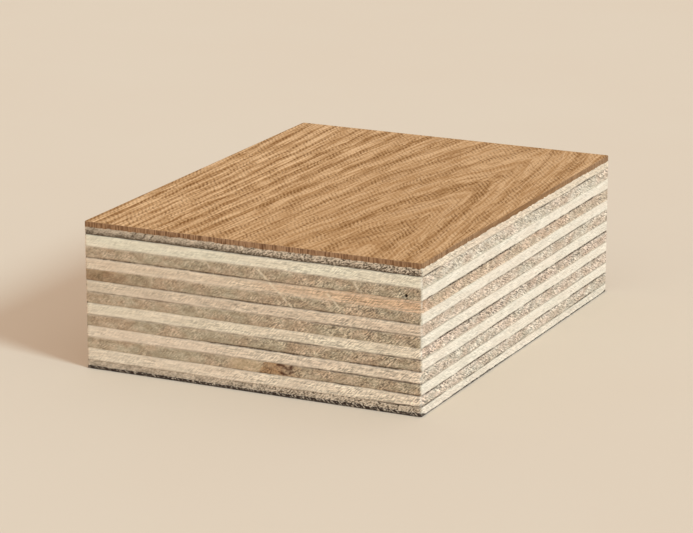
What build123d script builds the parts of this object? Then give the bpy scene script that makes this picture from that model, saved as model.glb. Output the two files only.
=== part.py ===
"""Sample block of oak-faced birch plywood.

Birch plies, each laid with its grain square to the next, are glued between an oak
face veneer and a thin back veneer, and the board is sawn into a small block.
Sizes are in millimetres, +Z is up, and the origin is the middle of the underside.
X runs across the grain of the face veneer and Y runs along it.
"""

import os

from build123d import *

# Outline of the sawn block
block_width = 46.0  # along X, across the grain of the face
block_depth = 61.0  # along Y, along the grain of the face
corner_radius = 0.3  # the four sawn corners, eased with a sanding block

# Thickness of the layers
face_veneer_thickness = 0.6
sanded_ply_thickness = 1.025  # the two outer plies, after the board is sanded to gauge
peeled_ply_thickness = 1.45  # the inner plies, as they come off the peeling lathe
back_veneer_thickness = 0.4

# Easing of the outer arrises: the top edge of the face and the bottom edge of the back
arris_radius = 0.12

# Birch plies between the two veneers, an odd number so that the board stays flat
ply_count = 13


def sawn_outline():
    """Adds the outline that the saw leaves on every layer to the sketch in hand."""
    RectangleRounded(block_width, block_depth, corner_radius)


def ply_name(number):
    """Names a ply by its place below the face and by the way that its grain runs."""
    direction = "long" if number % 2 else "cross"
    return f"ply_{number:02d}_{direction}"


def write_layer(layer, label):
    """Labels a finished layer and writes it to its own STEP file."""
    layer.part.label = label
    export_step(layer.part, f"parts/{label}.step")


os.makedirs("parts", exist_ok=True)

# Back veneer, on the floor, with its bottom arris eased
with BuildPart() as back_veneer:
    with BuildSketch(Plane.XY):
        sawn_outline()
    extrude(amount=back_veneer_thickness)
    fillet(back_veneer.faces().sort_by(Axis.Z)[0].edges(), radius=arris_radius)
write_layer(back_veneer, "back_veneer")

# Birch plies, laid from the back up and numbered from the face down
level = back_veneer_thickness
for number in range(ply_count, 0, -1):
    is_outer_ply = number in (1, ply_count)
    ply_thickness = sanded_ply_thickness if is_outer_ply else peeled_ply_thickness
    with BuildPart() as ply:
        with BuildSketch(Plane.XY.offset(level)):
            sawn_outline()
        extrude(amount=ply_thickness)
    write_layer(ply, ply_name(number))
    level += ply_thickness

# Oak face veneer, on the uppermost ply, with its top arris eased
with BuildPart() as face_veneer:
    with BuildSketch(Plane.XY.offset(level)):
        sawn_outline()
    extrude(amount=face_veneer_thickness)
    fillet(face_veneer.faces().sort_by(Axis.Z)[-1].edges(), radius=arris_radius)
write_layer(face_veneer, "face_veneer")

print(f"block {block_width} x {block_depth} x {level + face_veneer_thickness:.2f} mm")
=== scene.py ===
# %% [markdown]
# # A sample block of oak-faced birch plywood
#
# The object is a small block sawn from one sheet of plywood. Thirteen birch plies lie with
# their grain crossed, an oak veneer covers the top and a thin dark backing closes the
# underside. The CAD model gives each layer its size and place, and this lesson lays a finer
# surface over each one: the saw's roughness, the glue lines and the open pores of the oak.
# Everything is worked out in millimetres, and it is stored in metres, as the frame is.

import itertools
from math import radians

import bpy
import numpy as np
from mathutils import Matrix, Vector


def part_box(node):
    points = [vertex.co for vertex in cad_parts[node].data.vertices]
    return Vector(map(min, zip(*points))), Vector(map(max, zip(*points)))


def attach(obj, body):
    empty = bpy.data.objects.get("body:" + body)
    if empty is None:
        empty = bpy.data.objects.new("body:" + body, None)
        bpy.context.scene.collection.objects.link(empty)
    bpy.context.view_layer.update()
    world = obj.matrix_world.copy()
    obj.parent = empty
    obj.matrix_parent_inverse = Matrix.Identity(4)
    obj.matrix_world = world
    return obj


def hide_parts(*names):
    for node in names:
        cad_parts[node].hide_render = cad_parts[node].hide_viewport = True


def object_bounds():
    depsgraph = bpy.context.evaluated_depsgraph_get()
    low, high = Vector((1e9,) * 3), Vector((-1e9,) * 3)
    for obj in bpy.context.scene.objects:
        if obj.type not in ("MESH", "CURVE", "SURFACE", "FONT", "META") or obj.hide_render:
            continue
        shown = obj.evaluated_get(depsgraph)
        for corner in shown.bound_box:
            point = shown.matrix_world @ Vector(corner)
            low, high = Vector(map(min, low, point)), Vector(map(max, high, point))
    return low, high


MM = 0.001

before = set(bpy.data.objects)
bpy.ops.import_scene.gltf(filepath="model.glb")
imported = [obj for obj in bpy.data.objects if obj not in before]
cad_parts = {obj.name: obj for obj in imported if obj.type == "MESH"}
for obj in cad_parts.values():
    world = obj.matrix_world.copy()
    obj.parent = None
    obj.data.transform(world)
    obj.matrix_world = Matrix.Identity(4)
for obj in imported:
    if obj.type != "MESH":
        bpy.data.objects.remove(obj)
cad_low, cad_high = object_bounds()
block_width, block_depth, block_height = (np.array(cad_high) - np.array(cad_low)) / MM
print(f"block {block_width:.1f} x {block_depth:.1f} x {block_height:.1f} mm")

# %% [markdown]
# ## Camera
#
# The photograph looks down on the block over its front right corner, from far away with a long
# lens, so the edges hardly converge. The seven corners that show were enough to work out where
# the camera stood. It has no shift, so it also suits views from other sides.

# %% Place the camera
camera_place = (0.1671, -0.3508, 0.1160)
camera_turn, camera_dip = 25.68, 15.49  # degrees from the Y axis, and below the horizon
camera_data = bpy.data.cameras.new("camera")
camera_data.sensor_fit = "HORIZONTAL"
camera_data.sensor_width = 36.0
camera_data.lens = 161.0
camera = bpy.data.objects.new("camera", camera_data)
camera.location = camera_place
camera.rotation_euler = (radians(90 - camera_dip), 0, radians(camera_turn))
bpy.context.scene.collection.objects.link(camera)
bpy.context.scene.camera = camera
print(f"camera {np.linalg.norm(camera_place):.2f} m from the block, lens {camera_data.lens} mm")

# %% [markdown]
# ## Wiring helpers for materials
#
# A Blender material is a graph of nodes. The same few moves come back in every finish of this
# block: feed a socket, mix two colours, stretch a noise along the grain. Small helpers with
# plain names keep the finishes themselves short enough to read as a recipe.

# %% Helpers for colours and sums
def colour(red, green, blue):
    """A screen colour, 0 to 255, as the linear numbers that Blender calculates with."""
    screen = np.array([red, green, blue]) / 255
    linear = np.where(screen <= 0.04045, screen / 12.92, ((screen + 0.055) / 1.055) ** 2.4)
    return (*linear, 1.0)


def feed(tree, socket, value):
    """Links a socket to another node's output, or sets it to a plain value."""
    if isinstance(value, bpy.types.NodeSocket):
        tree.links.new(value, socket)
    else:
        socket.default_value = value


def mix_colours(tree, amount, first, second, blend="MIX"):
    """Goes from the first colour to the second as the amount goes from 0 to 1."""
    node = tree.nodes.new("ShaderNodeMix")
    node.data_type = "RGBA"
    node.blend_type = blend
    feed(tree, node.inputs["Factor"], amount)
    feed(tree, node.inputs["A"], first)
    feed(tree, node.inputs["B"], second)
    return node.outputs["Result"]


def reckon(tree, operation, first, second=0.0, keep=True):
    """One sum with two numbers, kept between 0 and 1 unless keep is off."""
    node = tree.nodes.new("ShaderNodeMath")
    node.operation = operation
    node.use_clamp = keep
    feed(tree, node.inputs[0], first)
    feed(tree, node.inputs[1], second)
    return node.outputs["Value"]


print("colours and sums ready")

# %% Helpers for patterns
def weigh(tree, *parts):
    """Adds several patterns, each times its weight."""
    total = 0.0
    for pattern, weight in parts:
        total = reckon(tree, "ADD", reckon(tree, "MULTIPLY", pattern, weight), total)
    return total


def calm(tree, pattern, share):
    """Pulls a pattern towards its middle: a share of 1 leaves it alone, and 0 flattens it."""
    swing = reckon(tree, "SUBTRACT", pattern, 0.5, keep=False)
    return reckon(tree, "ADD", reckon(tree, "MULTIPLY", swing, share, keep=False), 0.5)


def spread(tree, value, low, high, to_low=0.0, to_high=1.0):
    """Stretches the part of a pattern between low and high to a new range, with soft ends."""
    node = tree.nodes.new("ShaderNodeMapRange")
    node.interpolation_type = "SMOOTHSTEP"
    feed(tree, node.inputs["Value"], value)
    for socket, number in zip(node.inputs[1:5], (low, high, to_low, to_high)):
        socket.default_value = number
    return node.outputs["Result"]


def read(tree, name):
    """A number that the mesh keeps at each of its points."""
    node = tree.nodes.new("ShaderNodeAttribute")
    node.attribute_name = name
    return node.outputs["Fac"]


def grain_noise(tree, cell, detail=2.0, turn=0.0, plane=None):
    """Noise whose blotches measure about cell (x, y, z) in millimetres, turned about Z.

    It fills space, or it lies in a plane of its own that the mesh keeps as an attribute.
    """
    if plane:
        source = tree.nodes.new("ShaderNodeAttribute")
        source.attribute_name = plane
        where = source.outputs["Vector"]
    else:
        where = tree.nodes.new("ShaderNodeTexCoord").outputs["Object"]
    fit = tree.nodes.new("ShaderNodeMapping")
    fit.vector_type = "TEXTURE"
    fit.inputs["Rotation"].default_value = (0.0, 0.0, turn)
    fit.inputs["Scale"].default_value = np.array(cell) * MM
    noise = tree.nodes.new("ShaderNodeTexNoise")
    noise.inputs["Scale"].default_value = 1.0
    noise.inputs["Detail"].default_value = detail
    noise.inputs["Roughness"].default_value = 0.65
    tree.links.new(where, fit.inputs["Vector"])
    tree.links.new(fit.outputs["Vector"], noise.inputs["Vector"])
    return noise.outputs["Fac"]


print("patterns ready")

# %% Helpers for a whole finish
def new_finish(name):
    """A material with its node tree and its shader."""
    material = bpy.data.materials.new(name)
    material.use_nodes = True
    tree = material.node_tree
    return material, tree, tree.nodes["Principled BSDF"]


def roughen(tree, shader, height, depth):
    """Lets a pattern tilt the light as if its white parts stood depth millimetres proud."""
    bump = tree.nodes.new("ShaderNodeBump")
    bump.inputs["Distance"].default_value = depth * MM
    tree.links.new(height, bump.inputs["Height"])
    tree.links.new(bump.outputs["Normal"], shader.inputs["Normal"])


print("finish helpers ready")

# %% [markdown]
# ## Floor and light
#
# The block lies on a plain warm sheet that fills the view. One wide, soft lamp shines from the
# right, far off like a sun, so the side is the brightest face, the front is a shade darker and a
# blurred shadow falls to the left. The room's own light is warm, as if it came back off the sheet.

# %% Lay the floor
floor_side = 6.0
floor_drop = 0.00001  # metres below the block, so that the two flat faces don't share a plane
floor_mesh = bpy.data.meshes.new("floor")
across, along = np.meshgrid([-0.5, 0.5], [-0.5, 0.5])
floor_corners = np.stack([across, along, 0 * across], -1).reshape(-1, 3) * floor_side
floor_mesh.from_pydata(floor_corners - (0, 0, floor_drop), [], [(0, 1, 3, 2)])
floor = bpy.data.objects.new("floor", floor_mesh)
bpy.context.scene.collection.objects.link(floor)

floor_finish, tree, shader = new_finish("warm_sheet")
cloud = grain_noise(tree, (60, 60, 60))
sheet_colour = mix_colours(tree, cloud, colour(226, 211, 190), colour(224, 206, 184))
feed(tree, shader.inputs["Base Color"], sheet_colour)
shader.inputs["Roughness"].default_value = 0.9
shader.inputs["Specular IOR Level"].default_value = 0.1
floor_mesh.materials.append(floor_finish)
print(f"floor {floor_side} m wide")

# %% Hang the lamp and set the room's light
bpy.context.scene.view_settings.view_transform = "Standard"

lamp_data = bpy.data.lights.new("soft_lamp", "SUN")
lamp_data.energy = 2.2
lamp_data.angle = radians(15)
lamp_data.color = (0.708, 0.961, 1.129)
lamp = bpy.data.objects.new("soft_lamp", lamp_data)
lamp_side, lamp_height = -16.0, 33.0  # degrees round from +X, and degrees up
lamp.rotation_euler = (radians(90 - lamp_height), 0, radians(90 + lamp_side))
bpy.context.scene.collection.objects.link(lamp)

room = bpy.data.worlds.new("warm_room")
room.use_nodes = True
room_light = room.node_tree.nodes["Background"]
room_light.inputs["Color"].default_value = (1.0, 0.862, 0.768, 1.0)
room_light.inputs["Strength"].default_value = 0.735
bpy.context.scene.world = room
print(f"lamp {lamp_data.energy} W/m2, room {room_light.inputs['Strength'].default_value}")

# %% [markdown]
# ## Noise for the shapes
#
# Wood is never even. The relief of this block comes from one kind of seeded noise, worked out
# for whole arrays of points at once. It fills space, so a ply looks right on every face that
# the saw opens: drawn out along the grain it gives streaks on one face and specks on the next.

# %% Seeded noise in space
def cell_random(cells, seed):
    """A number from 0 to 1 for each whole-number cell, stirred from its address and a seed."""
    stirred = cells.astype(np.uint64) * np.array([73856093, 19349663, 83492791], np.uint64)
    mixed = np.bitwise_xor.reduce(stirred, axis=-1) ^ np.uint64(seed * 2654435761)
    for shift, factor in ((15, 2246822519), (13, 3266489917)):
        mixed = ((mixed ^ (mixed >> np.uint64(shift))) * np.uint64(factor)) & np.uint64(0xFFFFFFFF)
    return (mixed ^ (mixed >> np.uint64(16))) / 2.0**32


def noise_at(points, cell, seed):
    """Value noise from -1 to 1.

    Each corner of a lattice with boxes of size cell has a random number. A point blends the
    eight corners around it, by weights that rise as 3 t^2 - 2 t^3 along each axis.
    """
    place = points / np.array(cell, float)
    box = np.floor(place)
    share = place - box
    share = share * share * (3 - 2 * share)
    total = np.zeros(points.shape[:-1])
    for corner in itertools.product((0, 1), repeat=3):
        weight = np.prod(np.where(corner, share, 1 - share), axis=-1)
        total += weight * cell_random((box + corner).astype(np.int64), seed)
    return 2 * total - 1


def layered_noise(points, cell, seed):
    """Noise with a half and a quarter of its cell added at half and a quarter of its height."""
    cell = np.array(cell, float)
    layers = [noise_at(points, cell / 2**n, seed + n) / 2**n for n in range(3)]
    return sum(layers) / 1.75


def ramp(value, low, high):
    """0 below low, 1 above high, and 3 t^2 - 2 t^3 in between."""
    t = np.clip((value - low) / (high - low), 0, 1)
    return t * t * (3 - 2 * t)


def raise_to(xy, height):
    """Puts points of the board's plane at a height: (x, y) becomes (x, y, height)."""
    height = np.broadcast_to(height, xy.shape[:-1])
    return np.concatenate([xy, height[..., None]], -1)


print("noise sample", np.round(noise_at(np.eye(3) * 7.3, (1, 1, 1), 5), 3))

# %% [markdown]
# ## The sawn outline
#
# All layers were cut by the same four strokes of a saw, and the corners were eased with a
# sanding block. So every edge follows one path: a rectangle with small round corners, walked
# anticlockwise from the left end of the front. Each point of the path also keeps the way that
# it faces, the saw cut it belongs to and its place along that cut.

# %% Walk round the outline
path_step = 0.12
corner_radius = 0.3
corner_steps = 5
FRONT = 0  # the cuts are counted from here: 1 is the right side, 2 the back and 3 the left


def sawn_outline():
    """Points, outward directions, cut numbers and places along the cut.

    A cut is a straight run at half the block's size from the middle. Each corner is a quarter
    circle, centre + radius * (cos a, sin a), with a growing by 90 degrees.
    """
    points, ways, cuts, places = [], [], [], []
    for cut in range(4):
        sizes = (block_depth, block_width) if cut % 2 else (block_width, block_depth)
        half_run, half_out = np.array(sizes) / 2
        turn = cut * np.pi / 2
        run_way = np.array([np.cos(turn), np.sin(turn)])
        out_way = np.array([np.sin(turn), -np.cos(turn)])
        straight = half_run - corner_radius
        count = int(2 * straight / path_step)
        run = np.linspace(-straight, straight, count + 1)
        points.append(run[:, None] * run_way + half_out * out_way)
        ways.append(np.repeat(out_way[None], count + 1, axis=0))
        swing = np.linspace(0, np.pi / 2, corner_steps + 1)[1:-1]
        way = np.cos(swing)[:, None] * out_way + np.sin(swing)[:, None] * run_way
        centre = straight * run_way + (half_out - corner_radius) * out_way
        points.append(centre + corner_radius * way)
        ways.append(way)
        cuts.append(np.full(count + corner_steps, cut))
        places.append(np.concatenate([run, straight + corner_radius * np.sin(swing)]))
    return [np.concatenate(part) for part in (points, ways, cuts, places)]


outline, outline_way, outline_cut, outline_place = sawn_outline()
print(f"outline of {len(outline)} points")

# %% [markdown]
# ## Glue lines
#
# Veneer is peeled from a wet log and pressed between hot plates, so a glue line is never quite
# straight on the edge of a board. Its height is the CAD level plus a slow wave and a small
# ripple, and the lines sink a little towards the foot, where the plies were pressed hardest.
# Two plies that share a line use the same sum, so they always meet without a gap.
# The dark backing is thick along the front and back, and thins out towards the two sides.

# %% Levels of the layers and the waves in them
ply_nodes = sorted(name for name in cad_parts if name.startswith("ply_"))
layer_nodes = ["face_veneer", *ply_nodes, "back_veneer"]
levels = [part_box(name)[1][2] / MM for name in layer_nodes] + [0.0]
backing_line = len(levels) - 2
backing_thin, backing_gain = 0.25, 0.06  # thinner at the sides, and thicker to the right
oak_sag = 0.05  # the press drives the oak into the soft ply under it
line_sink = 0.018  # how much lower each line lies than the one above it would ask for
wave_height, ripple_height, rag_height = 0.07, 0.02, 0.07


def line_height(line, xy):
    """Height of a glue line at points of the board: its level plus a wave and a ripple.

    The lines between two birch plies also sink, each by line_sink more than the last. The first
    line and the backing's are ragged too, and the backing's drops near the sides.
    """
    inner = 0 < line < len(levels) - 1
    place = raise_to(xy, 0.0)
    wave = wave_height * noise_at(place, (13, 13, 1), 100 + line)
    ripple = ripple_height * noise_at(place, (1.3, 1.3, 1), 200 + line)
    height = levels[line] + inner * (wave + ripple)
    rag = rag_height * noise_at(place, (0.5, 0.5, 1), 300 + line)
    if line == 1:
        height += rag - oak_sag
    elif line == backing_line:
        side = ramp(block_depth / 2 - np.abs(xy[..., 1]), 0.2, 1.2)
        height += backing_gain * ramp(xy[..., 0], -15, 15) + 0.6 * rag - backing_thin * side
    elif inner:
        height -= line_sink * (line - 1)
    return height


print("levels", [round(level, 3) for level in levels])

# %% [markdown]
# ## Relief of the sawn edges
#
# A saw leaves different marks on one ply and the next. Where it crosses the fibres it tears
# short ends and leaves a rough, thirsty surface, and where it runs along them the edge stays
# smooth. The outermost plies had nothing to hold their fibres, so their end grain broke out in
# flakes. The relief is a height in millimetres, always below the CAD face, and the parts that
# a finish needs to know about are kept beside it.

# %% Marks that the front edge alone has
scratches = (  # from and to, as places along the front and heights above the floor
    ((0.3, 16.5), (5.8, 11.5)),
    ((10.3, 14.0), (12.8, 11.6)),
    ((14.0, 15.7), (15.0, 14.4)),
    ((-6.2, 16.2), (-4.6, 14.0)),
)
scratch_width = 0.11
cracks = (  # in the broken wood of the uppermost ply
    ((-16.4, 17.3), (-15.6, 18.3)),
    ((-15.1, 17.3), (-14.3, 18.3)),
    ((-13.9, 17.4), (-13.3, 18.2)),
    ((-6.9, 17.4), (-6.3, 18.0)),
    ((-4.1, 17.3), (-3.6, 18.1)),
)
crack_width = 0.13
hair_cracks = (  # fine ones, in two of the inner plies
    ((-3.6, 11.2), (-2.3, 11.1)),
    ((-2.2, 10.95), (-1.1, 10.8)),
    ((-1.4, 6.85), (0.9, 6.45)),
    ((0.4, 6.75), (1.9, 6.5)),
)
hair_width = 0.06
pinhole_ply, knot_ply = 3, 11
pinhole_place, pinhole_radius = (20.85, 14.8), 0.23
knot_place, knot_size = (3.9, 3.5), (3.4, 1.7)
knot_end = 1.5  # where the saw's slant cuts it off on the left
halo_place, halo_size = (-0.4, 3.4), (3.0, 1.5)  # paler wood to the left of the knot
swirls = (  # dark bark that the knot grew round
    ((3.8, 4.05), (4.7, 3.95)),
    ((4.7, 3.95), (5.25, 3.5)),
    ((5.25, 3.5), (5.75, 4.0)),
    ((4.2, 3.05), (5.0, 2.85)),
    ((5.5, 3.25), (5.9, 3.45)),
)
swirl_width = 0.17


def near_line(place, height, start, end):
    """Distance of each point from the straight line between two points of the edge."""
    start, end = np.array(start), np.array(end)
    along = end - start
    offset = np.stack([place, height], -1) - start
    share = np.clip(offset @ along / (along @ along), 0, 1)
    return np.linalg.norm(offset - share[..., None] * along, axis=-1)


def blob(place, height, middle, size):
    """1 in the middle of an ellipse, falling to 0 at its rim as 1 - r^2."""
    away = ((place - middle[0]) / size[0]) ** 2 + ((height - middle[1]) / size[1]) ** 2
    return np.clip(1 - away, 0, 1)


def furrow(place, height, lines, width):
    """1 along each of some straight lines, falling off beside it as exp(-(d / width)^2)."""
    bells = [np.exp(-((near_line(place, height, *line) / width) ** 2)) for line in lines]
    return np.max(bells, axis=0)


print(f"{len(scratches)} scratches, {len(cracks + hair_cracks)} cracks, a pinhole and a knot")

# %% Torn wood and the knot
torn_plies = {1: (0.37, 0.74), 13: (0.39, 0.08)}  # how deep at the top, and more at the foot
tear_slant = radians(27)  # the flakes that the saw tore out, up from the run of the cut


def saw_bite(place, cut):
    """How hard the saw bit: it ran clean at the left end of the front, and rougher to the right."""
    front = 0.42 + 0.58 * ramp(place, -16, 20)
    return np.where(cut == FRONT, front, 0.85)


def torn_wood(points, ply, share, bite):
    """How deep the broken fibres of an outer ply are, 0 to 1.

    It deepens towards the foot as (1 - share)^2, with crumbs and slanting chunks of noise, and the
    crumbs grow with the square of the bite.
    """
    depth, slope = torn_plies.get(ply, (0.0, 0.0))
    slanted = points - points[..., :1] * (0, 0, np.tan(tear_slant))
    crumb = layered_noise(points, (0.3, 0.3, 0.2), 600 + ply)
    chunk = layered_noise(slanted, (1.0, 1.0, 0.5), 620 + ply)
    rough = 0.72 * bite**2 * crumb + 0.42 * chunk
    return np.clip(depth + slope * (1 - share) ** 2 + rough, 0, 1)


def knot_marks(points, place, height):
    """A brown knot, and the dark swirls of bark in it.

    The knot is an ellipse on shaken ground, cut off by a slanting line on its left. The swirls
    are short lines on the same ground, so they wind.
    """
    shake = layered_noise(points, (0.8, 0.8, 0.4), 670)
    sway = layered_noise(points, (0.5, 0.5, 0.4), 680)
    x, z = place + 0.35 * shake, height + 0.2 * sway
    kept = ramp(place - 0.5 * (height - knot_place[1]) + 0.2 * shake - knot_end, 0.0, 0.3)
    body = ramp(blob(x, z, knot_place, knot_size), 0.0, 0.3) * kept * (1 - 0.6 * ramp(x, 3.6, 5.6))
    streak = ramp(layered_noise(points, (1.2, 1.2, 0.25), 690), -0.6, 0.6)
    swirl = furrow(place + 0.12 * shake, z, swirls, swirl_width)
    return body * (0.6 + 0.4 * streak), swirl * (0.7 + 0.3 * streak)


def front_marks(points, ply, place, front, rub):
    """The pinhole's bowl, and how far each mark of the front shows, 0 to 1.

    Scratches and cracks are furrows, and the pinhole and the knot are blobs. The rub breaks them up.
    """
    height = points[..., 2]
    scratch = 0.85 * front * furrow(place + 0.06 * rub, height, scratches, scratch_width)
    bowl = front * (ply == pinhole_ply) * blob(place, height, pinhole_place, (pinhole_radius,) * 2)
    hair = front * furrow(place, height, hair_cracks, hair_width)
    knot, swirl = knot_marks(points, place, height)
    knotty = front * (ply == knot_ply)
    return bowl, {
        "scratch": scratch * ramp(rub, -0.9, 0.4),
        # Nearly black in the finish: painted shade inside the pinhole and the hair cracks.
        "hole_shade": np.maximum(ramp(bowl, 0.0, 0.5), 0.5 * hair * ramp(rub, -0.6, 0.4)),
        "halo": 0.35 * knotty * ramp(blob(place, height, halo_place, halo_size), 0.0, 0.7),
        "knot": 0.9 * knotty * knot,
        "swirl": knotty * swirl,
    }


print("torn plies", sorted(torn_plies))

# %% Relief of one ply
saw_slant = radians(42)  # the saw's strokes, up from the run of the cut
saw_pitch = 0.5
fuzz_depth, end_fuzz_depth = 0.008, 0.016  # of any sawn wood, and how much end grain adds
saw_depth, torn_depth, scratch_depth, pinhole_depth = 0.006, 0.07, 0.02, 0.25


def cut_plane(place, height, cut):
    """A flat ground for the saw's patterns: along the cut, up it, and 10 mm from cut to cut."""
    return np.stack([place, height, 10.0 * cut], -1) * MM


def edge_relief(points, ply, share):
    """Relief of a ply's edge and the marks on it, for points[row, place along the path].

    Height = -(fuzz + saw + torn + scratch + pinhole), where fuzz is noise that is deeper on
    end grain, saw is a slanting ripple, torn is the broken wood of the outer plies' end grain,
    and a scratch is a groove of bell-shaped section.
    """
    grain = ply % 2  # 1 along Y, 0 along X
    end = np.broadcast_to(np.abs(outline_way[:, grain]), points.shape[:2])
    place = np.broadcast_to(outline_place, end.shape)
    cut = np.broadcast_to(outline_cut, end.shape)
    height = points[..., 2]
    front = cut == FRONT
    bite = saw_bite(place, cut)
    cell = np.array([0.3, 0.3, 0.22])
    cell[grain] = 5.0
    fuzz = layered_noise(points, cell, 400 + ply)
    stroke_place = np.where(cut % 2, -0.5 * place, place)  # the sides were cut with a longer stroke
    slant = height * np.cos(saw_slant) - stroke_place * np.sin(saw_slant)
    drift = noise_at(points, (6, 6, 6), 500)
    saw = np.sin(2 * np.pi * slant / saw_pitch + 4 * drift) * ramp(drift, -0.4, 0.6) * bite
    torn = (ply in torn_plies) * end
    crack = front * furrow(place, height, cracks, crack_width)
    deep = np.maximum(torn_wood(points, ply, share, bite), crack)
    rub = noise_at(points, (0.4, 0.4, 0.4), 660)
    bowl, marks = front_marks(points, ply, place, front, rub)
    depth = (fuzz_depth + end_fuzz_depth * end) * (fuzz + 1) + saw_depth * (saw + 1)
    depth = depth + torn_depth * torn * deep
    depth = depth + scratch_depth * marks["scratch"] + pinhole_depth * np.sqrt(bowl)
    corner = 2 * np.abs(np.prod(outline_way, axis=-1))
    marks |= {
        "end_grain": end,
        "cut": cut_plane(stroke_place, height, cut),
        "bite": bite,
        # The finish darkens the torn wood and the cracks by this depth, as painted shade.
        "torn": 0.85 * torn,
        "deep": deep,
        # Pale corners: partly wear, and partly a painted highlight where the rounded corner faces the
        # lamp.
        "wear_and_highlight": 0.35 * corner**2 * ramp(rub, -0.8, 0.6),
    }
    return -depth, marks


print(f"end grain is up to {2 * (fuzz_depth + end_fuzz_depth):.3f} mm rough")

# %% [markdown]
# ## From arrays to meshes
#
# Each layer is a stack of rows that run round the outline, joined into a wall, with a fan to
# the middle that closes it above and below. The arrays go straight into the mesh. The numbers
# that a finish reads, such as how far the grain is cut across, ride along as attributes.

# %% Mesh helpers
def band_faces(rows, count, first=0):
    """Quads between neighbouring rows of a wall that closes on itself after count points."""
    row, place = np.meshgrid(np.arange(rows - 1), np.arange(count), indexing="ij")
    following = (place + 1) % count
    lower, upper = first + row * count, first + (row + 1) * count
    quads = np.stack([lower + place, lower + following, upper + following, upper + place], -1)
    return quads.reshape(-1, 4)


def fan_faces(rim, middle, upward):
    """Triangles from a closed rim of points to one in the middle, facing up or down."""
    following = np.roll(rim, -1)
    pair = (rim, following) if upward else (following, rim)
    return np.stack([*pair, np.full_like(rim, middle)], -1)


def lay_mesh(name, points, quads, triangles, marks):
    """Puts points in millimetres, faces and attributes into a mesh, and it into the scene."""
    mesh = bpy.data.meshes.new(name)
    corners = np.concatenate([quads.ravel(), triangles.ravel()])
    starts = np.concatenate([np.arange(len(quads)) * 4, quads.size + np.arange(len(triangles)) * 3])
    mesh.vertices.add(len(points))
    mesh.vertices.foreach_set("co", (points * MM).ravel())
    mesh.loops.add(len(corners))
    mesh.loops.foreach_set("vertex_index", corners.astype(np.int32))
    mesh.polygons.add(len(starts))
    mesh.polygons.foreach_set("loop_start", starts.astype(np.int32))
    mesh.update(calc_edges=True)
    mesh.validate()
    for key, values in marks.items():
        kind, field = ("FLOAT", "value") if values.ndim == 1 else ("FLOAT_VECTOR", "vector")
        layer = mesh.attributes.new(key, kind, "POINT")
        layer.data.foreach_set(field, values.astype(np.float32).ravel())
    mesh.shade_smooth()
    mesh.set_sharp_from_angle(angle=radians(55))
    piece = bpy.data.objects.new(name, mesh)
    bpy.context.scene.collection.objects.link(piece)
    return piece


def stand_for(piece, node, finish):
    """Gives a piece its finish, hangs it under the root body and hides the CAD node that it stands
    for.
    """
    piece.data.materials.append(finish)
    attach(piece, "root")
    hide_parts(node)


print("mesh helpers ready")

# %% [markdown]
# ## Birch finish
#
# Birch is pale and close-grained. Along the fibres it is cream with faint streaks, and across
# them the cut ends drink the light and look grey-brown and speckled. One recipe serves all
# thirteen plies: the same noise stretched along the ply's own grain, then the glue line, the
# torn flakes and the few stains on top, each where the mesh says so.

# %% Recipe for clear birch
def shade(tone, factor):
    """A colour made darker or lighter."""
    return (*(factor * value for value in tone[:3]), 1.0)


def along_grain(tree, grain, across, length, detail):
    """Noise drawn out to a length along the grain, which runs along axis 0 (X) or 1 (Y)."""
    cell = [1.8 * across, 2.6 * across, across]
    cell[grain] = length
    return grain_noise(tree, cell, detail)


def clear_birch(tree, grain, looks, fibre, strokes):
    """The colour of unmarked wood, and its grit.

    The grit of fibres and saw strokes goes from a darker to a lighter shade of the ply's tone. Slow
    drifts of hue, grey clouds and dark pores lie over it, stronger on end grain.
    """
    end, bite = read(tree, "end_grain"), read(tree, "bite")
    more_on_end = spread(tree, end, 0.0, 1.0, 0.35, 1.0)
    patch = spread(tree, along_grain(tree, grain, 1.0, 4.0, 2.0), 0.35, 0.65, 0.55, 1.3)
    grit = spread(tree, weigh(tree, (fibre, 0.47), (strokes, 0.53)), 0.38, 0.62)
    grit = calm(tree, grit, reckon(tree, "MULTIPLY", bite, patch, keep=False))
    long_wood, end_wood = (
        mix_colours(tree, grit, shade(tone, 1 - swing), shade(tone, 1 + swing))
        for tone, swing in looks
    )
    wood = mix_colours(tree, end, long_wood, end_wood)
    drift = spread(tree, along_grain(tree, grain, 2.0, 9.0, 2.0), 0.35, 0.65)
    hue = mix_colours(tree, drift, colour(255, 249, 244), colour(247, 252, 249))
    wood = mix_colours(tree, more_on_end, wood, hue, "MULTIPLY")
    cloud = spread(tree, along_grain(tree, grain, 0.9, 5.0, 3.0), 0.35, 0.65)
    cloud = reckon(tree, "MULTIPLY", cloud, more_on_end)
    wood = mix_colours(tree, cloud, wood, colour(222, 217, 211), "MULTIPLY")
    pores = spread(tree, along_grain(tree, grain, 0.17, 1.4, 1.0), 0.6, 0.74)
    pores = reckon(tree, "MULTIPLY", pores, spread(tree, end, 0.0, 1.0, 0.25, 0.5))
    pores = reckon(tree, "MULTIPLY", pores, bite)
    return mix_colours(tree, pores, wood, colour(96, 78, 60)), grit


print("clear birch ready")

# %% Recipe for the marks on birch
def lay_over(tree, wood, coats, blend="MIX"):
    """Lays one coat of colour after another over the wood, each where a mark of the mesh says so."""
    for mark, coat in coats.items():
        wood = mix_colours(tree, read(tree, mark), wood, coat, blend)
    return wood


def stained_birch(tree, wood, fibre):
    """Lays the two tints and the knot, whose brown follows the fibres, over the wood."""
    tints = {"rosy": colour(239, 217, 196), "stain": colour(208, 182, 156)}
    wood = lay_over(tree, wood, tints, "MULTIPLY")
    whorl = spread(tree, fibre, 0.38, 0.62)
    knot = mix_colours(tree, whorl, colour(104, 70, 38), colour(196, 154, 108))
    coats = {"halo": colour(222, 190, 148), "knot": knot, "swirl": colour(72, 34, 20)}
    return lay_over(tree, wood, coats)


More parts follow.
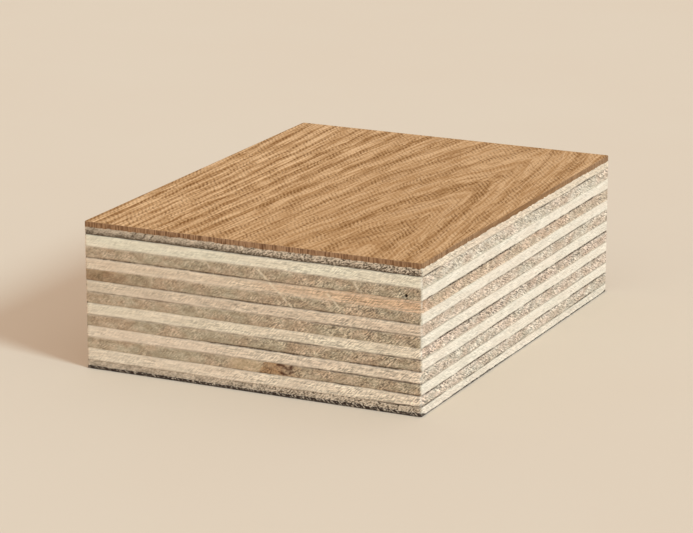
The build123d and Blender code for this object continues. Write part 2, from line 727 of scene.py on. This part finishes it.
def worked_birch(tree, wood, strokes):
    """Lays what the saw and the press did over the wood, with painted light and shade.

    Flakes with painted shade in their pits, scratches, rims of painted highlight, corners that are
    partly worn and partly painted highlight, glue, and holes darkened by painted shade.
    """
    flake = spread(tree, grain_noise(tree, (0.36, 0.17, 1.0), 3.0, tear_slant, "cut"), 0.4, 0.6)
    loose = spread(tree, read(tree, "bite"), 0.4, 0.9, 0.35, 1.1)
    flake = reckon(tree, "SUBTRACT", calm(tree, flake, loose), 0.5, keep=False)
    # The flakes darken with depth: painted shade in the pits and cracks of the torn wood.
    pit_shade = reckon(tree, "ADD", read(tree, "deep"), flake)
    broken = mix_colours(tree, pit_shade, colour(236, 218, 194), colour(62, 48, 35))
    # Painted highlight: on the rims of the paler plies, and on the corners, which are also worn pale.
    wear_and_highlight = {"rim": colour(250, 238, 216), "wear_and_highlight": colour(250, 240, 222)}
    wood = lay_over(tree, wood, {"torn": broken, "scratch": colour(246, 230, 202)} | wear_and_highlight)
    gaps = spread(tree, strokes, 0.38, 0.6, 0.45, 1.15)
    glue = reckon(tree, "MULTIPLY", read(tree, "glue"), gaps)
    wood = mix_colours(tree, glue, wood, colour(66, 50, 36))
    # Painted shade: the pinhole and the hair cracks go nearly black.
    return mix_colours(tree, read(tree, "hole_shade"), wood, colour(14, 10, 8))


def birch_finish(name, grain, long_look, end_look):
    """A sawn birch ply whose grain runs along axis 0 (X) or 1 (Y).

    The looks of its long grain and its end grain are a tone, and how far the wood strays from it.
    """
    material, tree, shader = new_finish(name)
    fibre = along_grain(tree, grain, 0.14, 1.4, 3.0)
    strokes = grain_noise(tree, (0.8, 0.14, 1.0), 2.0, saw_slant, "cut")
    wood, grit = clear_birch(tree, grain, (long_look, end_look), fibre, strokes)
    wood = stained_birch(tree, wood, fibre)
    wood = worked_birch(tree, wood, strokes)
    feed(tree, shader.inputs["Base Color"], wood)
    feed(tree, shader.inputs["Roughness"], spread(tree, grit, 0.0, 1.0, 0.85, 0.65))
    shader.inputs["Specular IOR Level"].default_value = 0.25
    roughen(tree, shader, grit, 0.012)
    return material


print("birch recipe ready")

# %% [markdown]
# ## The thirteen plies
#
# Now the plies themselves, from the face down. Rows crowd together near the glue lines, where
# a narrow groove shows that the glue was squeezed out and scraped away. Glue shows most on the
# line under every second ply, where it was spread on the rough side of the veneer, and some
# lines open up towards one end. The paler ply of a pair has a painted highlight: a lighter band
# just inside its glue lines.

# %% Glue and tone of each ply
glue_shows = {  # for each line: how dark at the left and right of the front, and on the sides
    2: (0.45, 0.75, 1.3),
    3: (0.15, 0.25, 0.15),
    4: (1.2, 0.4, 2.2),
    6: (0.7, 1.1, 0.9),
    7: (0.6, 0.8, 0.4),
    8: (0.45, 0.3, 2.2),
    9: (0.5, 1.0, 0.2),
    10: (0.4, 2.2, 1.6),
    11: (0.2, 1.1, 0.5),
    12: (0.2, 1.1, 1.6),
    13: (0.1, 1.0, 1.1),
}
long_woods = {  # tone along the grain, and how far it strays; other plies share plain_wood
    1: (colour(223, 201, 176), 0.42),
    2: (colour(241, 233, 211), 0.33),
    4: (colour(229, 210, 186), 0.52),
    6: (colour(224, 206, 183), 0.52),
    8: (colour(238, 225, 202), 0.46),
    10: (colour(234, 217, 195), 0.48),
    12: (colour(237, 221, 199), 0.54),
    13: (colour(230, 214, 194), 0.3),
}
plain_wood = (colour(235, 220, 200), 0.2)
end_woods = {  # the same across the grain, where the saw ran rougher through the lower plies
    8: (colour(213, 193, 175), 0.78),
    10: (colour(217, 199, 181), 0.72),
    12: (colour(217, 199, 181), 0.74),
}
plain_ends = {"long": (colour(200, 182, 158), 0.66), "cross": (colour(218, 199, 180), 0.63)}
print(f"glue shows on {len(glue_shows)} lines")

# %% Stains, glue lines and seams
rosy_ply, brown_ply = 4, 5
groove_width = np.where(outline_cut % 2, 0.09, 0.1)
seam_width = 0.13


def stains(points, ply):
    """How far two plies are tinted: a rosy one round the front right corner, and a brown end."""
    x, behind = points[..., 0], points[..., 1] + block_depth / 2  # behind the front
    cloud = 0.5 + 0.5 * layered_noise(points, (4, 4, 1.2), 700)
    fade = 1.1 - 0.35 * ramp(behind, 0.1, 1.5) - 0.3 * ramp(behind, 1.5, 56.5)
    rosy = (ply == rosy_ply) * ramp(x, -8, 20) * fade * (0.5 + 0.5 * cloud)
    reach = 0.6 * (1 - ramp(x, -21, -16)) + 0.6 * (1 - ramp(x, -20, -6))
    brown = (ply == brown_ply) * reach * (1 - ramp(behind, 0.5, 12.5)) * (0.4 + 0.4 * cloud)
    return {"rosy": rosy, "stain": brown}


def glue_strength(line):
    """How dark a line is round the outline, growing or fading from left to right on the front."""
    left, right, side = glue_shows.get(line, (0.0, 0.0, 0.0))
    front = left + (right - left) * ramp(outline_place, -20, 20)
    return np.where(outline_cut % 2, side, front)


def glue_mark(points, ply, bottom, top):
    """How dark the glue is: bell-shaped away from each line, and broken up along it."""
    run = points * (1, 1, 0)
    marks = []
    for line, height in ((ply, top), (ply + 1, bottom)):
        bell = np.exp(-(((points[..., 2] - height) / groove_width) ** 2))
        slow = layered_noise(run, (7, 7, 1), 800 + line)
        quick = layered_noise(run, (0.7, 0.7, 1), 820 + line)
        fade = 0.2 + 0.95 * ramp(slow + 0.5 * quick, -0.5, 0.5)
        marks.append(bell * glue_strength(line) * fade)
    return np.clip(np.maximum(*marks), 0, 1)


def soft_seam(points, ply, bottom, top):
    """How far two plies run into each other where no glue shows: half at the line itself."""
    away = top - points[..., 2] if ply % 2 else points[..., 2] - bottom
    return (ply != 1) * 0.5 * np.exp(-((away / seam_width) ** 2))


def painted_rim_highlight(points, end, bottom, top):
    """Where a highlight is painted: a bell a little way in from both lines, on long grain only."""
    inside = np.minimum(points[..., 2] - bottom, top - points[..., 2])
    return 0.2 * (1 - end) ** 2 * np.exp(-(((inside - 0.2) / 0.13) ** 2))


print(f"rosy ply {rosy_ply}, brown ply {brown_ply}")

# %% Build the plies
row_count = 13
groove_depth = 0.05


def row_shares(count):
    """Heights of the rows as shares of the thickness, closer together near both ends."""
    even = np.linspace(0, 1, count)
    return 0.5 * even + 0.25 * (1 - np.cos(np.pi * even))


def ply_surface(ply):
    """Points and marks of a ply's wall: rows between two glue lines, set back by the relief."""
    bottom = line_height(ply + 1, outline)
    top = line_height(ply, outline)
    share = row_shares(row_count)[:, None]
    flat = np.broadcast_to(outline, (row_count, *outline.shape))
    wall = raise_to(flat, bottom + share * (top - bottom))
    relief, marks = edge_relief(wall, ply, share)
    end = marks["end_grain"]
    marks["glue"] = glue_mark(wall, ply, bottom, top)
    # A painted highlight a little way in from each glue line of the paler plies.
    marks["rim"] = painted_rim_highlight(wall, end, bottom, top)
    marks["end_grain"] = end + soft_seam(wall, ply, bottom, top) * (1 - 2 * end)
    marks |= stains(wall, ply)
    relief = relief - groove_depth * marks["glue"]
    wall[..., :2] += relief[..., None] * outline_way
    return wall, marks


def flatten_mark(values, count, extra):
    """One row for each of count points, and zeros for some extra points after them."""
    rows = values.reshape(count, -1)
    return np.concatenate([rows, np.zeros((extra, rows.shape[1]))]).squeeze()


def close_wall(wall, marks, low, high):
    """Adds a middle point below and above a wall, and the fans that close it."""
    rows, count = wall.shape[:2]
    points = np.concatenate([wall.reshape(-1, 3), [(0, 0, low), (0, 0, high)]])
    marks = {key: flatten_mark(values, rows * count, 2) for key, values in marks.items()}
    rim = np.arange(count)
    under = fan_faces(rim, rows * count, False)
    over = fan_faces(rim + (rows - 1) * count, rows * count + 1, True)
    return points, band_faces(rows, count), np.concatenate([under, over]), marks


for ply, node in enumerate(ply_nodes, start=1):
    kind = node.split("_")[-1]
    wall, marks = ply_surface(ply)
    piece = lay_mesh(f"birch_{node}", *close_wall(wall, marks, levels[ply + 1], levels[ply]))
    long_look = long_woods.get(ply, plain_wood)
    end_look = end_woods.get(ply, plain_ends[kind])
    finish = birch_finish(f"birch_{ply:02d}", ply % 2, long_look, end_look)
    stand_for(piece, node, finish)
    print(f"{piece.name}: {len(piece.data.polygons)} faces")

# %% [markdown]
# ## The dark backing
#
# A thin veneer closes the underside, so that the board stays flat. Its nearly black colour is
# partly the veneer's own and partly painted shade along the foot of the block. Its edge is
# ragged where the saw came out through it, and its lower arris is eased. It is a wall like the
# plies', with a quarter circle as the first stretch of its profile.

# %% Build the backing
arris_radius = 0.12
arris_steps, edge_steps = 3, 4
fray_depth = 0.06


def backing_finish_with_painted_shade():
    """Nearly black veneer with pale broken fibres in its edge.

    The black is partly the veneer's own and partly painted shade along the block's foot.
    """
    material, tree, shader = new_finish("backing_with_painted_shade")
    dash = grain_noise(tree, (0.7, 0.16, 1.0), 2.0, -saw_slant, "cut")
    chip = grain_noise(tree, (0.3, 0.8, 0.2), 2.0)
    speck = spread(tree, weigh(tree, (dash, 0.65), (chip, 0.35)), 0.5, 0.6)
    pale_speck = reckon(tree, "MULTIPLY", speck, read(tree, "frayed"))
    # The nearly black base is partly painted shade along the block's foot.
    wood = mix_colours(tree, pale_speck, colour(52, 38, 31), colour(252, 234, 208))
    feed(tree, shader.inputs["Base Color"], wood)
    feed(tree, shader.inputs["Roughness"], spread(tree, speck, 0.0, 1.0, 0.6, 0.85))
    shader.inputs["Specular IOR Level"].default_value = 0.2
    roughen(tree, shader, speck, 0.03)
    return material


def arris_profile():
    """How far in each row of an eased edge is, its height, and its share of the wall above.

    The arris is a quarter circle, set in by r (1 - sin a) at height r (1 - cos a).
    """
    swing = np.linspace(0, np.pi / 2, arris_steps + 1)
    straight = np.linspace(0, 1, edge_steps + 1)[1:]
    inset = np.concatenate([arris_radius * (1 - np.sin(swing)), 0 * straight])
    rise = np.concatenate([arris_radius * (1 - np.cos(swing)), 0 * straight + arris_radius])
    share = np.concatenate([0 * swing, straight])
    return inset[:, None], rise[:, None], share[:, None]


def backing_surface():
    """The arris, then a ragged wall up to the lowest glue line."""
    inset, rise, share = arris_profile()
    top = np.maximum(line_height(backing_line, outline), arris_radius + 0.01)
    height = rise + share * (top - arris_radius)
    wall = raise_to(outline - inset[..., None] * outline_way, height)
    fray = np.abs(layered_noise(wall, (0.4, 0.4, 0.25), 900)) * ramp(height, 0.0, 0.1)
    wall[..., :2] -= fray_depth * fray[..., None] * outline_way
    place, cut = (np.broadcast_to(part, height.shape) for part in (outline_place, outline_cut))
    marks = {
        "cut": cut_plane(place, height, cut),
        "frayed": (0.5 + 0.35 * saw_bite(place, cut)) * (0.5 + 0.5 * ramp(height, 0.05, 0.35)),
    }
    return wall, marks


backing_parts = close_wall(*backing_surface(), 0.0, levels[backing_line])
backing = lay_mesh("backing_veneer", *backing_parts)
stand_for(backing, "back_veneer", backing_finish_with_painted_shade())
print(f"{backing.name}: {len(backing.data.polygons)} faces")

# %% [markdown]
# ## Growth rings of the oak face
#
# The face was sliced flat from an oak log, a little to one side of its heart. So the rings run
# as straight lines on the left, and close into pointed arches on the right, where the slice
# comes near the heart line. A ring is a fixed distance from that line. The slice tilts against
# the log, so the distance also changes along the board, and the tilt differs far from the heart,
# because the log was bent. Each year's ring is a little narrower than the last, as the tree ages,
# and good and lean years come and go in a slow wave.

# %% The ring field
heart_place = 14.4  # millimetres to the right of the middle
heart_depth = 25.0
heart_pinch = (0.23, 0.56)  # how pointed the arches are, on the left and on the right
near_tilt, near_bend = 0.1, 0.00036
far_tilt, far_bend = -0.07, -0.00072
tilt_fade, tilt_power = 32.0, 2.5  # how far from the heart the one tilt gives way to the other
first_ring, ring_width, ring_narrowing = -3.6, 2.81, 0.049
year_swing, year_cycle, best_year = 0.58, 11, 7.6  # good and lean years
ring_numbers = np.arange(17)


def ring_distance(ring):
    """Distance of a ring from the heart line: a + b n - c n^2 + s cos(2 pi (n - m) / cycle)."""
    grown = first_ring + ring_width * ring - ring_narrowing * ring**2
    return grown + year_swing * np.cos(2 * np.pi * (ring - best_year) / year_cycle)


def ring_shade(ring):
    """How dark the spring wood of a ring is: faint near the heart, and by luck from year to year."""
    luck = noise_at(ring[:, None] * (1.0, 0.0, 0.0), (1, 1, 1), 231)
    return np.clip(0.6 + 0.3 * ramp(ring, 2, 8) + 0.25 * luck, 0, 1)


def ring_field(xy):
    """The count of rings out from the heart line, how dark the spring wood is, and the distance.

    The distance from the heart is sqrt(x^2 + d^2) - d, plus |x| times the pinch and a tilt of
    t y + b y^2, with some wander. Whole numbers of the count are the middles of the spring wood.
    """
    x, y = xy[..., 0], xy[..., 1]
    place = raise_to(xy, 0.0)
    off = x - heart_place
    near = np.exp(-((np.abs(off) / tilt_fade) ** tilt_power))
    tilt = near_tilt * y + near_bend * y**2
    tilt = tilt * near + (far_tilt * y + far_bend * y**2) * (1 - near)
    pinch = np.where(off < 0, *heart_pinch) * np.abs(off)
    wander = 0.25 * noise_at(place, (3.4, 25, 1), 30) + 0.18 * noise_at(place, (0.9, 8, 1), 31)
    reach = np.hypot(off, heart_depth) - heart_depth + pinch + tilt + wander
    distances = ring_distance(ring_numbers)
    count = np.interp(reach, distances, ring_numbers)
    return count, np.interp(reach, distances, ring_shade(ring_numbers)), reach


def spring_wood(rings, shades):
    """The dark spring part of each ring, strongest in its middle."""
    away = np.abs(rings - np.round(rings))
    return shades * ramp(away, 0.44, 0.06)


sample = spring_wood(*ring_field(np.random.default_rng(3).uniform(-20, 20, (4000, 2)))[:2])
print(f"mean spring wood {sample.mean():.2f}")

# %% [markdown]
# ## Pores of the oak face
#
# Oak has large vessels in the spring part of a ring. Cut lengthways they are open grooves, which
# show as rows of short dark strokes. In this veneer the fibres spiral, so the strokes slant
# across the rings. Lines at an even distance cross the whole board on that slant, and a pore
# opens wherever a line meets the spring wood of a ring.

# %% The pore field
fibre_slant = radians(36)
stroke_gap = 0.555  # from one line of pores to the next, across the fibres


def stroke_field(xy, flow):
    """Counts the lines of pores across the slanting fibres. Whole numbers lie on a line.

    The lines jump a little from one streak of the rings to the next, so they stay short.
    """
    across = xy[..., 0] * np.cos(fibre_slant) + xy[..., 1] * np.sin(fibre_slant)
    return across / stroke_gap + 0.35 * noise_at(flow, (0.55, 5, 1), 41)


def pore_depth(spring, strokes):
    """Depth of the pores, 0 to 1: full on a line of pores in spring wood, and faint elsewhere."""
    off_line = np.abs(strokes - np.round(strokes))
    return ramp(off_line, 0.34, 0.06) * (0.35 + 0.65 * spring)


print(f"pores {stroke_gap} mm apart, {stroke_gap / np.sin(fibre_slant):.2f} mm along the board")

# %% [markdown]
# ## The oak face
#
# The veneer's top is one grid, fine enough to hold the pores. At the corners the square grid is
# squeezed on to the round outline. Its rim goes over a small arris into the edge, which shows
# the cut pores as upright dark lines.

# %% Shape of the oak face
oak_across, oak_along = 390, 224
oak_top = levels[0]
spring_sink, pore_sink, nap_sink = 0.012, 0.04, 0.004


def rounded_sheet(u, v, inset):
    """Takes a square of u and v from -1 to 1 to the sawn outline, set in by inset.

    Past the centre of a corner circle, the offset from that centre is scaled by
    max(|a|, |b|) / sqrt(a^2 + b^2), which takes the square corner to a quarter circle.
    """
    half = np.array([block_width, block_depth]) / 2 - inset
    flat = np.stack([u, v], -1) * half
    core = half - (corner_radius - inset)
    over = np.sign(flat) * np.maximum(np.abs(flat) - core, 0)
    length = np.linalg.norm(over, axis=-1)
    squeeze = np.where(length > 0, np.abs(over).max(-1) / np.maximum(length, 1e-9), 1)
    return flat - over + over * squeeze[..., None]


def grid_rim(rows, columns):
    """Indices of a grid's outermost points, anticlockwise from its first corner."""
    index = np.arange(rows * columns).reshape(rows, columns)
    return np.concatenate([index[0, :-1], index[:-1, -1], index[-1, :0:-1], index[:0:-1, 0]])


def oak_grid(u, v):
    """The face: the rounded sheet, sunk by spring wood, pores and nap, but not at its rim."""
    face = rounded_sheet(u, v, arris_radius)
    rings, shades, reach = ring_field(face)
    flow = np.stack([reach, face[..., 1], 0 * reach], -1)
    strokes = stroke_field(face, flow)
    spring = spring_wood(rings, shades)
    nap = layered_noise(raise_to(face, 0.0), (0.5, 4, 1), 50)
    sink = spring_sink * spring + pore_sink * pore_depth(spring, strokes) + nap_sink * (nap + 1)
    sink.ravel()[grid_rim(*u.shape)] = 0
    marks = {"ring": rings, "spring": shades, "stroke": strokes, "flow": flow * MM}
    return raise_to(face, oak_top - sink).reshape(-1, 3), marks


print(f"oak face grid {oak_across} x {oak_along}")

# %% Edge and mesh of the oak face
notch_depth, end_notch_depth = 0.01, 0.03  # of the edge, and how much end grain adds


def oak_edge_rows(u, v):
    """Rows over the arris and down the edge, for the u and v of the rim, with their end grain.

    They are the backing's profile upside down, without its first row, which is the rim itself.
    """
    inset, drop, fall = (part[1:] for part in arris_profile())
    outer = rounded_sheet(u, v, 0.0)
    way = (outer - rounded_sheet(u, v, arris_radius)) / arris_radius
    way /= np.linalg.norm(way, axis=-1, keepdims=True)
    height = oak_top - drop - fall * (oak_top - arris_radius - line_height(1, outer))
    wall = raise_to(outer - inset[..., None] * way, height)
    end = np.broadcast_to(np.abs(way[:, 1]), height.shape)
    hatch = layered_noise(wall, (0.32, 0.32, 6), 51) + 1
    notch = (notch_depth + end_notch_depth * end) * hatch * ramp(drop, 0.0, arris_radius)
    wall[..., :2] -= notch[..., None] * way
    return wall, end


def oak_mesh():
    """Joins the face grid to its rows, and closes the underside with a fan."""
    u, v = np.meshgrid(np.linspace(-1, 1, oak_across + 1), np.linspace(-1, 1, oak_along + 1))
    rim = grid_rim(*u.shape)
    top, face_marks = oak_grid(u, v)
    wall, end = oak_edge_rows(u.ravel()[rim], v.ravel()[rim])
    rows, count = wall.shape[:2]
    first, rest = len(top), rows * count + 1
    points = np.concatenate([top, wall.reshape(-1, 3), [(0, 0, levels[1])]])
    index = np.arange(first).reshape(u.shape)
    quads = np.stack([index[:-1, :-1], index[:-1, 1:], index[1:, 1:], index[1:, :-1]], -1)
    start = first + np.arange(count)
    shoulder = np.stack([start, np.roll(start, -1), np.roll(rim, -1), rim], -1)
    edge = band_faces(rows, count, first)[:, ::-1]
    fan = fan_faces(start + (rows - 1) * count, first + rows * count, False)
    marks = {key: flatten_mark(values, first, rest) for key, values in face_marks.items()}
    marks["edge"] = np.repeat([0.0, 1.0], [first, rest])
    marks["end_grain"] = np.concatenate([np.zeros(first), end.ravel(), [0.0]])
    return points, np.concatenate([quads.reshape(-1, 4), shoulder, edge]), fan, marks


print(f"mean notch {notch_depth} mm along the grain, {notch_depth + end_notch_depth} mm across")

# %% Finish of the oak face
def spring_bands(tree):
    """Dark spring wood round each whole number of the ring count, with a ragged edge."""
    rag = grain_noise(tree, (0.4, 4.0, 1.0), 2.0)
    ragged = reckon(tree, "ADD", read(tree, "ring"), rag, keep=False)
    off_ring = reckon(tree, "PINGPONG", reckon(tree, "SUBTRACT", ragged, 0.5, keep=False), 0.5)
    return reckon(tree, "MULTIPLY", spread(tree, off_ring, 0.02, 0.29, 1.0, 0.0), read(tree, "spring"))


def pore_rows(tree, spring):
    """How dark the rows of pores are, most in spring wood, and how the fibres gleam between rows."""
    off_line = reckon(tree, "PINGPONG", read(tree, "stroke"), 0.5)
    uneven = spread(tree, grain_noise(tree, (0.6, 0.9, 1.0), 1.0, fibre_slant), 0.36, 0.6, 0.1, 1.0)
    patch = spread(tree, grain_noise(tree, (1.6, 5.0, 1.0), 1.0), 0.4, 0.6, 0.4, 1.35)
    uneven = reckon(tree, "MULTIPLY", uneven, patch)
    stroke = reckon(tree, "MULTIPLY", spread(tree, off_line, 0.05, 0.33, 1.0, 0.0), uneven)
    pores = reckon(tree, "MULTIPLY", stroke, spread(tree, spring, 0.0, 0.6, 0.42, 0.8))
    return pores, reckon(tree, "MULTIPLY", spread(tree, off_line, 0.28, 0.48, 0.0, 0.26), uneven)


def oak_edge(tree):
    """The sawn edge: upright pores across the grain, and level streaks along it."""
    upright = spread(tree, grain_noise(tree, (0.2, 0.2, 2.0), 2.0), 0.35, 0.68)
    level = spread(tree, grain_noise(tree, (0.3, 7.0, 0.2), 2.0), 0.35, 0.65)
    end_edge = mix_colours(tree, upright, colour(176, 139, 105), colour(110, 77, 53))
    side_edge = mix_colours(tree, level, colour(150, 109, 70), colour(127, 90, 56))
    return mix_colours(tree, read(tree, "end_grain"), side_edge, end_edge)


def oak_finish():
    """Golden brown oak: rings with rows of dark pores, paler wood between, a redder edge."""
    material, tree, shader = new_finish("oak_face")
    spring = spring_bands(tree)
    pores, gleam = pore_rows(tree, spring)
    fibre = grain_noise(tree, (0.3, 6.0, 1.0), 3.0)
    streak = grain_noise(tree, (0.34, 14.0, 1.0), 3.0, plane="flow")
    vein = spread(tree, grain_noise(tree, (0.16, 18.0, 1.0), 2.0, plane="flow"), 0.54, 0.68, 0.0, 0.7)
    figure = spread(tree, weigh(tree, (fibre, 0.35), (streak, 0.65)), 0.41, 0.59)
    outer = spread(tree, read(tree, "ring"), 1.0, 11.0)  # the wood is paler away from the heart
    bright = mix_colours(tree, outer, colour(215, 171, 122), colour(237, 193, 143))
    pale = mix_colours(tree, figure, colour(181, 135, 87), bright)
    dark = mix_colours(tree, figure, colour(136, 90, 42), colour(182, 134, 80))
    wood = mix_colours(tree, spring, pale, dark)
    wood = mix_colours(tree, vein, wood, colour(146, 101, 53))
    wood = mix_colours(tree, gleam, wood, colour(238, 194, 142))
    wood = mix_colours(tree, pores, wood, colour(116, 75, 26))
    wood = mix_colours(tree, read(tree, "edge"), wood, oak_edge(tree))
    feed(tree, shader.inputs["Base Color"], wood)
    feed(tree, shader.inputs["Roughness"], spread(tree, figure, 0.0, 1.0, 0.7, 0.5))
    shader.inputs["Specular IOR Level"].default_value = 0.12
    roughen(tree, shader, figure, 0.012)
    return material


oak = lay_mesh("oak_face_veneer", *oak_mesh())
stand_for(oak, "face_veneer", oak_finish())
print(f"{oak.name}: {len(oak.data.polygons)} faces")
